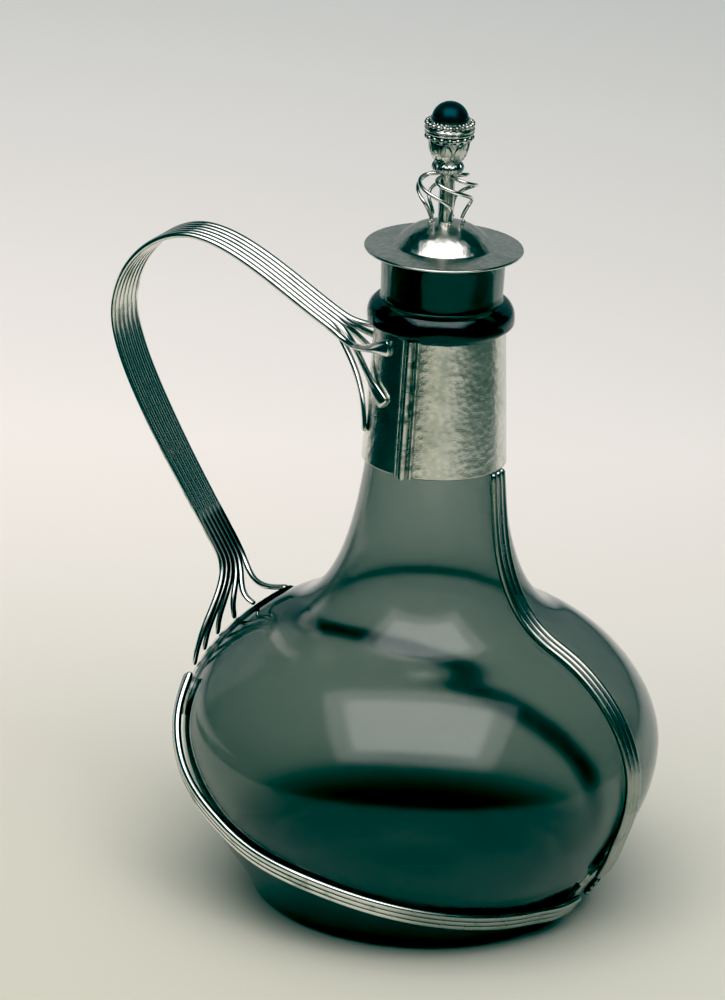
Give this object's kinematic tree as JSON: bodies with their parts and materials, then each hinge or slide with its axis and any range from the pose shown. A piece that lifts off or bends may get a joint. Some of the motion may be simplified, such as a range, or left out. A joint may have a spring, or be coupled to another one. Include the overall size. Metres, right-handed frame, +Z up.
{
  "type": "claret jug",
  "caption": "claret jug of smoky green glass with silver wire handle, belts and strap, a hammered neck collar on a hinge, and a lift-off stopper topped with a green cabochon",
  "frame": {"origin": "on the axis of the bottle, in the plane of the table", "axes": "+Z is up along the bottle's axis, +X points away from the handle, +Y completes the right-handed frame; the collar hinge is on the -Y side"},
  "size_m": [0.1589, 0.1273, 0.2186],
  "materials": {
    "bottle_glass": "polished",
    "silver": "polished",
    "silver_wire": "polished",
    "hammered_silver": "satin",
    "cork": "matte",
    "stone": "polished"
  },
  "bodies": {
    "jug": {"glass_bottle": "bottle_glass", "collar_rear": "hammered_silver", "hinge_leaf_rear": "silver", "hinge_knuckle_2": "silver", "hinge_knuckle_4": "silver", "hinge_pin": "silver", "handle_wire_1": "silver_wire", "handle_wire_2": "silver_wire", "handle_wire_3": "silver_wire", "handle_wire_4": "silver_wire", "handle_wire_5": "silver_wire", "handle_wire_6": "silver_wire", "shoulder_plate": "silver", "front_belt_wire_1": "silver_wire", "front_belt_wire_2": "silver_wire", "front_belt_wire_3": "silver_wire", "back_belt_wire_1": "silver_wire", "back_belt_wire_2": "silver_wire", "back_belt_wire_3": "silver_wire", "strap_wire_1": "silver_wire", "strap_wire_2": "silver_wire", "strap_wire_3": "silver_wire", "strap_tab": "silver", "joint_plate": "silver"},
    "front_collar": {"collar_front": "hammered_silver", "hinge_leaf_front": "silver", "hinge_knuckle_1": "silver", "hinge_knuckle_3": "silver", "hinge_knuckle_5": "silver", "closing_tongue": "silver"},
    "stopper": {"lid": "hammered_silver", "core_tube": "silver", "cork_sleeve": "cork", "end_disc": "silver", "end_nut": "silver", "stem_rod": "silver", "knop": "silver", "cup": "silver", "lower_bead_ring": "silver", "moulded_band": "silver", "upper_bead_ring": "silver", "bezel": "silver", "cabochon": "stone", "twist_wire_1": "silver_wire", "twist_wire_2": "silver_wire", "twist_wire_3": "silver_wire", "twist_wire_4": "silver_wire", "twist_wire_5": "silver_wire", "foot_granules": "silver"}
  },
  "joints": [
    {"name": "stopper_lift", "type": "slide", "parent": "jug", "child": "stopper", "axis": [0, 0, 1], "range_m": [0, 0.06]},
    {"name": "collar_hinge", "type": "hinge", "parent": "jug", "child": "front_collar", "pos_m": [0, -0.02003, 0.122], "axis": [0, -0.0516, -0.9987], "range_deg": [0, 110]}
  ]
}
